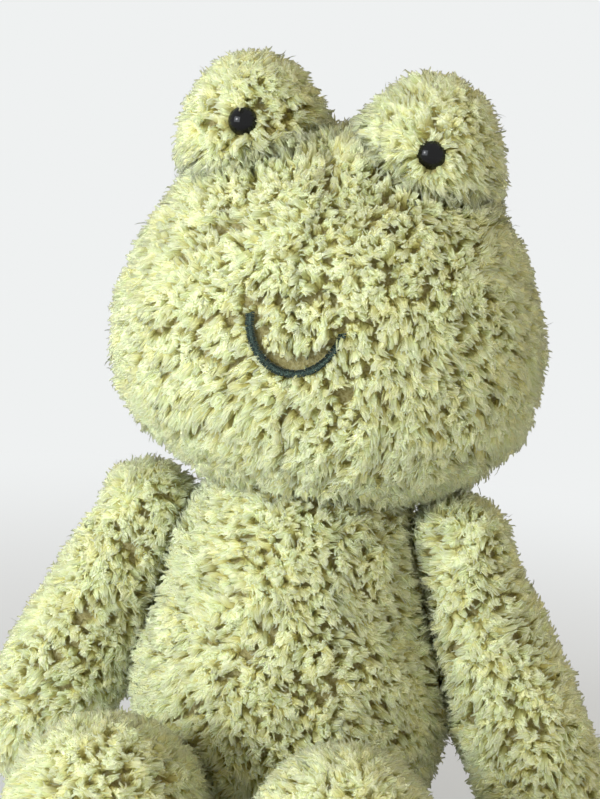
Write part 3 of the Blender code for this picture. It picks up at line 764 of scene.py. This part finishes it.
# %% Plant every coat
def coat(form, seed):
    """Plants one form's locks and returns their pieces."""
    places, ups = tips[form]
    rooms = np.array([room_at(form, Vector(place)) for place in places])
    keep = np.array([not bare(form, Vector(place), room) for place, room in zip(places, rooms)])
    places, ups, rooms = places[keep], ups[keep], rooms[keep]
    chance = np.random.default_rng(seed + 100)
    count = len(places)
    centres = thinned(places, CLUMP_SPACING)
    search = KDTree(len(centres))
    for number, centre in enumerate(centres):
        search.insert(places[centre], number)
    search.balance()
    clump = np.array([search.find(place)[1] for place in places])
    clump_way = unit(chance.normal(size=(len(centres), 3)))[clump]
    inwards = (places[centres][clump] - places) / CLUMP_SPACING
    own = unit(chance.normal(size=(count, 3)))
    outwards = (places - places.mean(0)) / (np.ptp(places, axis=0) / 2) * (1, 0, 1)
    droop = np.array([[0, 0, -0.3]])
    ways = (outwards * 0.25 + swirl(places, 24 * MM, seed) * 0.8 + clump_way * 0.6 + inwards * 0.35
            + droop + own * 0.45)
    open_share = np.array([eased((room - CRUSH_NEAR) / (CRUSH_FAR - CRUSH_NEAR)) for room in rooms])
    clump_height = chance.uniform(0.6, 1.4, len(centres))[clump]
    proud = CRUSHED + (PROUD * clump_height * chance.uniform(0.5, 1.3, count) - CRUSHED) * open_share
    crease = np.clip(1 - np.abs(rooms - CREASE_ROOM) / CREASE_SPAN, 0, 1)
    notch = np.array([notch_at(form, Vector(place)) for place in places])
    proud += crease * CREASE_FILL + notch * NOTCH_FILL * chance.uniform(0.7, 1.2, count)
    if form == "head":
        ways += crease[:, None] * CHIN_FALL
    keep, ways, proud, limit, trim = groomed(form, places, ups, ways, proud)
    places, ups, ways, proud, limit, trim = (values[keep] for values in (places, ups, ways, proud, limit, trim))
    count = len(places)
    ways -= (ways * ups).sum(1, keepdims=True) * ups
    ways /= np.maximum(np.linalg.norm(ways, axis=1, keepdims=True), 0.8)
    reaches = np.minimum(REACH * chance.uniform(0.7, 1.25, count), limit)
    cloth = tree_of(skins[form])
    behind = places - ways * reaches[:, None] - ups * PILE_DEPTH
    found = [cloth.find_nearest(Vector(place)) for place in behind]
    rises = np.array([normal for _, normal, _, _ in found])
    roots = np.array([place for place, _, _, _ in found]) - rises * ROOT_SUNK
    offsets = places + ups * proud[:, None] - roots
    heights = np.maximum((offsets * rises).sum(1), LEAST_HEIGHT)
    leans = flat_to(offsets, rises)
    reaches = (offsets * leans).sum(1)
    chords = np.minimum(np.arctan2(reaches, heights), STEEPEST)
    bends = chords * chance.uniform(0.6, 1.1, count) + math.radians(10)
    starts = chords - bends / 2
    widths = chance.uniform(1.02, 1.44, count) * trim
    order = np.argsort(np.arctan2(roots[:, 1] - roots[:, 1].mean(), roots[:, 0] - roots[:, 0].mean()))
    parts = math.ceil(count * len(LOCKS[1]) / FACES_PER_PIECE)
    pieces = []
    for number, rows in enumerate(np.array_split(order, parts), 1):
        piece = grown(f"{form}_pile_{number}", LOCKS, roots[rows], rises[rows], leans[rows], heights[rows],
                      starts[rows], bends[rows], widths[rows], seed * 10 + number)
        piece.data.materials.append(PILE)
        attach(piece, FORMS[form][0])
        pieces.append(piece)
    some = chance.choice(count, int(count * HAIR_SHARE), replace=False)
    loose = grown(f"{form}_loose_hairs", HAIRS, roots[some], rises[some], leans[some],
                  heights[some] + HAIR_PROUD * chance.uniform(0.3, 1.0, len(some)), starts[some], bends[some],
                  np.ones(len(some)), seed)
    loose.data.materials.append(PILE)
    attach(loose, FORMS[form][0])
    print(form, "carries", count, "locks in", parts, "pieces, and", len(some), "loose hairs")
    return pieces + [loose]


coats = {form: coat(form, seed) for seed, form in enumerate(FORMS, 1)}

# %% [markdown]
# ## Bead eyes
#
# Safety eyes are moulded in black acrylic: a low dome with a rounded rim, on a shank that a washer
# holds inside the mound. The dome is polished, so it shows the window as one small hard spot.

# %% Turn the eyes
BEAD_SIDES = 48
DOME_STEPS = 12
BEAD_PROFILE = [(1.3, -7.2), (1.3, 0.0), (4.1, 0.0), (4.42, 0.12), (4.5, 0.4)]
for step in range(DOME_STEPS):
    turn = math.pi / 2 * step / DOME_STEPS
    BEAD_PROFILE.append((4.5 * math.cos(turn), 0.9 + 3.7 * math.sin(turn)))
BEAD_PROFILE.append((0.05, 4.6))


def acrylic():
    """Polished black acrylic: nearly black, and as smooth as glass."""
    return new_material("polished black acrylic", base_color=linear("#060607"), roughness=0.05, ior=1.5,
                        specular_ior_level=0.3)[0]


ACRYLIC = acrylic()
for side, (back, axis) in eyes.items():
    bead = turned([(radius * MM, height * MM) for radius, height in BEAD_PROFILE], BEAD_SIDES)
    bead.name = bead.data.name = side + "_bead"
    bead.data.shade_smooth()
    place = Matrix.Translation(Vector(back)) @ Vector(axis).to_track_quat("Z", "Y").to_matrix().to_4x4()
    bead.data.transform(place)
    bead.data.materials.append(ACRYLIC)
    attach(bead, "head")
    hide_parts(side + "_eye")
print("beads look along", {side: axis.round(2).tolist() for side, (back, axis) in eyes.items()})

# %% [markdown]
# ## The stitched smile
#
# The smile is a satin stitch: a row of short threads laid side by side across its line, each coming up
# out of the pile on one side and going down on the other. One stitch is modelled and the rest are copies
# of it, each with a little slant of its own.

# %% Model one stitch and copy it along the smile
STITCH_HALF = 1.0 * MM
STITCH_THREAD = 0.23 * MM
STITCH_RISE = 0.75
STITCH_LEG = 2.5 * MM
STITCH_DROP = 0.5 * MM
STITCH_SPACING = 0.42 * MM
STITCH_SLANT = math.radians(14)


def stitch():
    """One thread over an arch about the Y axis, with a leg down at each end."""
    bpy.ops.mesh.primitive_circle_add(vertices=5, radius=STITCH_THREAD, fill_type="NGON",
                                      location=(STITCH_HALF, 0, -STITCH_LEG))
    bpy.ops.object.transform_apply()
    bpy.ops.object.mode_set(mode="EDIT")
    bpy.ops.mesh.extrude_region_move(TRANSFORM_OT_translate={"value": (0, 0, STITCH_LEG)})
    bpy.ops.mesh.spin(steps=6, angle=math.pi, center=(0, 0, 0), axis=(0, -1, 0))
    bpy.ops.mesh.extrude_region_move(TRANSFORM_OT_translate={"value": (0, 0, -STITCH_LEG)})
    bpy.ops.mesh.select_all(action="SELECT")
    bpy.ops.mesh.remove_doubles(threshold=0.001 * MM)
    bpy.ops.transform.resize(value=(1, 1, STITCH_RISE), center_override=(0, 0, 0))
    bpy.ops.mesh.normals_make_consistent(inside=False)
    bpy.ops.object.mode_set(mode="OBJECT")
    bpy.context.object.data.shade_smooth()
    return bpy.context.object


def rayon():
    """Dark green rayon thread: a silky sheen over fine twisted fibre."""
    material, tree, shader = new_material(
        "dark green rayon", roughness=0.5, ior=1.5, specular_ior_level=0.4, sheen_weight=0.4,
        sheen_roughness=0.3)
    place = add_node(tree, "TexCoord").outputs["Object"]
    fibre = add_node(tree, "TexNoise", {"Vector": place, "Scale": 1 / (0.5 * MM), "Detail": 2.0})
    colour = ramp(tree, fibre.outputs["Fac"], [(0.3, "#1F2E29"), (0.5, "#394F47"), (0.68, "#708A7F")])
    tree.links.new(colour, shader.inputs["Base Color"])
    return material


model = stitch()
steps = np.linalg.norm(np.diff(smile_line, axis=0), axis=1)
along = np.concatenate([[0], np.cumsum(steps)])
count = int(along[-1] / STITCH_SPACING)
marks = np.linspace(0, along[-1], count)
line = np.stack([np.interp(marks, along, smile_line[:, axis]) for axis in range(3)], 1)
ahead = unit(np.gradient(line, axis=0))
chance = np.random.default_rng(7)
stitches = []
for place, way in zip(line, ahead):
    outward = envelopes["head"].find_nearest(Vector(place))[1]
    way = Vector(way)
    across = way.cross(outward).normalized()
    outward = across.cross(way)
    turn = Matrix((across, way, outward)).transposed().to_4x4()
    slant = Matrix.Rotation(STITCH_SLANT + chance.uniform(-0.25, 0.25), 4, "Z")
    size = Matrix.Diagonal((chance.uniform(0.82, 1.04), 1, chance.uniform(0.75, 1.1), 1))
    copy = bpy.data.objects.new("smile", model.data.copy())
    bpy.context.collection.objects.link(copy)
    sunk = Vector(place) - outward * STITCH_DROP
    copy.data.transform(Matrix.Translation(sunk) @ turn @ slant @ size)
    stitches.append(copy)
bpy.data.objects.remove(model)
smile = joined("smile", stitches)
smile.data.materials.append(rayon())
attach(smile, "head")
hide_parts("smile_stitching")
print("the smile has", count, "stitches over", round(along[-1] / MM, 1), "mm")

# %% [markdown]
# ## What is inside
#
# Out of sight, but seen when the part is taken apart: loose fibre fillings, the pouch of beads in the
# seat, the washers and the seam threads. The fillings are lumpy clouds of fibre, so each is a copy of its
# solid pushed out into lumps. The pouch shows the beads through its cloth. Threads and washers keep their
# frame solids and only get their finish.

# %% Fill the forms and finish the small parts
FILL_STEP = 3.0 * MM
LUMP_SIZE = 14 * MM
LUMP_RISE = 2.4 * MM


def fibre_finish():
    """Loose polyester fibre: white, dull and woolly."""
    material, tree, shader = new_material("loose polyester fibre", roughness=1.0, specular_ior_level=0.1,
                                          sheen_weight=0.4, sheen_roughness=0.6)
    place = add_node(tree, "TexCoord").outputs["Object"]
    wool = add_node(tree, "TexNoise", {"Vector": place, "Scale": 1 / (4 * MM), "Detail": 8.0, "Roughness": 0.7})
    colour = ramp(tree, wool.outputs["Fac"], [(0.25, "#D9D9D4"), (0.5, "#EDEDE9"), (0.75, "#F6F6F3")])
    tree.links.new(colour, shader.inputs["Base Color"])
    bump = add_node(tree, "Bump", {"Height": wool.outputs["Fac"], "Strength": 0.8, "Distance": 1 * MM})
    tree.links.new(bump.outputs["Normal"], shader.inputs["Normal"])
    return material


def pouch_finish():
    """Plain woven cotton: a fine even weave of dull natural threads."""
    material, tree, shader = new_material("plain woven cotton", roughness=0.9, specular_ior_level=0.2)
    place = add_node(tree, "TexCoord").outputs["Object"]
    threads = []
    for axis in ("X", "Y"):
        wave = add_node(tree, "TexWave", {"Vector": place, "Scale": 1 / (0.8 * MM) / math.tau * 2},
                        bands_direction=axis)
        threads.append(wave.outputs["Fac"])
    weave = add_node(tree, "Math", {0: threads[0], 1: threads[1]}, operation="MULTIPLY").outputs[0]
    colour = ramp(tree, weave, [(0.0, "#B9B19C"), (0.4, "#CFC8B4"), (1.0, "#DCD6C6")])
    tree.links.new(colour, shader.inputs["Base Color"])
    bump = add_node(tree, "Bump", {"Height": weave, "Strength": 0.5, "Distance": 0.2 * MM})
    tree.links.new(bump.outputs["Normal"], shader.inputs["Normal"])
    return material


def body_of(node):
    """The body that carries a frame node."""
    bodies = frame["record"]["behaviour"]["bodies"]
    return next(body for body, nodes in bodies.items() if node in nodes)


def lumpy(name, node, size, rise, voxel, kind):
    """A copy of a frame solid, remeshed and pushed out into lumps."""
    item = copy_of(name, [node])
    finish_with(item, "REMESH", mode="VOXEL", voxel_size=voxel)
    lumps = bpy.data.textures.new(name, kind)
    lumps.noise_scale = size
    finish_with(item, "DISPLACE", texture=lumps, texture_coords="GLOBAL", strength=rise, mid_level=0.25)
    item.data.shade_smooth()
    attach(item, body_of(node))
    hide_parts(node)
    return item


fibre, cotton = fibre_finish(), pouch_finish()
for form, (body, panels, inner) in FORMS.items():
    node = next(name for name in inner if name.endswith("filling"))
    cloud = lumpy(node.replace("filling", "fibre"), node, LUMP_SIZE, LUMP_RISE, FILL_STEP, "CLOUDS")
    cloud.data.materials.append(fibre)
pouch = lumpy("pouch", "bean_pouch", 3.5 * MM, 0.9 * MM, 1.2 * MM, "VORONOI")
pouch.data.materials.append(cotton)

SEAM_THREAD = new_material("matte olive sewing thread", base_color=linear("#AFB487"), roughness=0.85,
                           sheen_weight=0.3, sheen_roughness=0.5)[0]
NYLON = new_material("moulded white nylon", base_color=linear("#E2E2DE"), roughness=0.45, ior=1.53)[0]
for name, item in frame["nodes"].items():
    if name.endswith("_thread"):
        item.material_slots[0].material = SEAM_THREAD
    elif name.endswith("_washer"):
        item.material_slots[0].material = NYLON
print("inner pieces finished")

# %% [markdown]
# ## Floor, light and camera

# %% Camera
CAMERA_AZIMUTH = math.radians(12)
CAMERA_ELEVATION = math.radians(10)
CAMERA_ROLL = math.radians(4.3)
CAMERA_TARGET = Vector((-0.004, 0, 0.1448))
CAMERA_DISTANCE = 0.750

away = Vector((math.sin(CAMERA_AZIMUTH) * math.cos(CAMERA_ELEVATION),
               -math.cos(CAMERA_AZIMUTH) * math.cos(CAMERA_ELEVATION),
               math.sin(CAMERA_ELEVATION)))
lens = bpy.data.cameras.new("camera")
lens.lens = 106.4
lens.sensor_fit = "VERTICAL"
lens.sensor_height = 36
camera = bpy.data.objects.new("camera", lens)
bpy.context.collection.objects.link(camera)
camera.matrix_world = (Matrix.Translation(CAMERA_TARGET + away * CAMERA_DISTANCE)
                       @ (-away).to_track_quat("-Z", "Y").to_matrix().to_4x4()
                       @ Matrix.Rotation(CAMERA_ROLL, 4, "Z"))
bpy.context.scene.camera = camera

# %% Floor and background
PAPER = "#EFF1F1"
NEAR_PAPER = "#EEF3FB"


def seen_directly(tree):
    """1 for rays that show a thing itself, from the camera or through gloss and glass, and 0 for light."""
    path = add_node(tree, "LightPath").outputs
    seen = add_node(tree, "Math", {0: path["Is Camera Ray"], 1: path["Is Glossy Ray"]}, operation="MAXIMUM")
    seen = add_node(tree, "Math", {0: seen.outputs[0], 1: path["Is Transmission Ray"]}, operation="MAXIMUM")
    return seen.outputs[0]


FLOOR_FADE = (0.12, 0.6)
FLOOR_GLOW = 0.45
bpy.ops.mesh.primitive_circle_add(vertices=64, radius=8, fill_type="NGON")
floor = joined("floor", [bpy.context.object])
material, tree, shader = new_material("matte paper", roughness=0.9, base_color=linear(NEAR_PAPER))
seen = seen_directly(tree)
spot = add_node(tree, "TexCoord").outputs["Object"]
far = add_node(tree, "VectorMath", {0: spot}, operation="LENGTH").outputs["Value"]
fade = add_node(tree, "MapRange", {"Value": far, "From Min": FLOOR_FADE[0], "From Max": FLOOR_FADE[1],
                                   "To Min": FLOOR_GLOW},
                interpolation_type="SMOOTHSTEP").outputs["Result"]
fade = add_node(tree, "Math", {0: fade, 1: seen}, operation="MULTIPLY").outputs[0]
glow = add_node(tree, "Emission", {"Color": linear(PAPER), "Strength": 1.0})
mixed = add_node(tree, "MixShader", {0: fade, 1: shader.outputs["BSDF"], 2: glow.outputs["Emission"]})
output = next(node for node in tree.nodes if node.type == "OUTPUT_MATERIAL")
tree.links.new(mixed.outputs["Shader"], output.inputs["Surface"])
floor.data.materials.append(material)

FILL = 0.39
world = bpy.data.worlds.new("studio")
bpy.context.scene.world = world
world.use_nodes = True
tree = world.node_tree
tree.nodes.clear()
seen = seen_directly(tree)
fill = add_node(tree, "Background", {"Color": linear("#FFF0D8"), "Strength": FILL})
paper = add_node(tree, "Background", {"Color": linear(PAPER), "Strength": 1.0})
mixed = add_node(tree, "MixShader", {0: seen, 1: fill.outputs[0], 2: paper.outputs[0]})
add_node(tree, "OutputWorld", {"Surface": mixed.outputs["Shader"]})

# %% Lamps
LAMPS = {
    "window": ((-1.16, -1.66, 0.42), 1.5, 27.0, "#F0F7FF"),
    "pane": ((-0.85, -1.15, 0.5), 0.26, 4.5, "#FFFFFF"),
}
for name, (place, size, power, colour) in LAMPS.items():
    lamp = bpy.data.lights.new(name, "AREA")
    lamp.size = size
    lamp.energy = power
    lamp.color = linear(colour)[:3]
    item = bpy.data.objects.new(name, lamp)
    bpy.context.collection.objects.link(item)
    item.location = place
    item.rotation_euler = (CAMERA_TARGET - Vector(place)).to_track_quat("-Z", "Y").to_euler()

bpy.context.scene.view_settings.view_transform = "Standard"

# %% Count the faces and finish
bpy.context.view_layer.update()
faces = sum(len(item.data.polygons) for item in bpy.data.objects if item.type == "MESH")
print("faces in all:", faces)
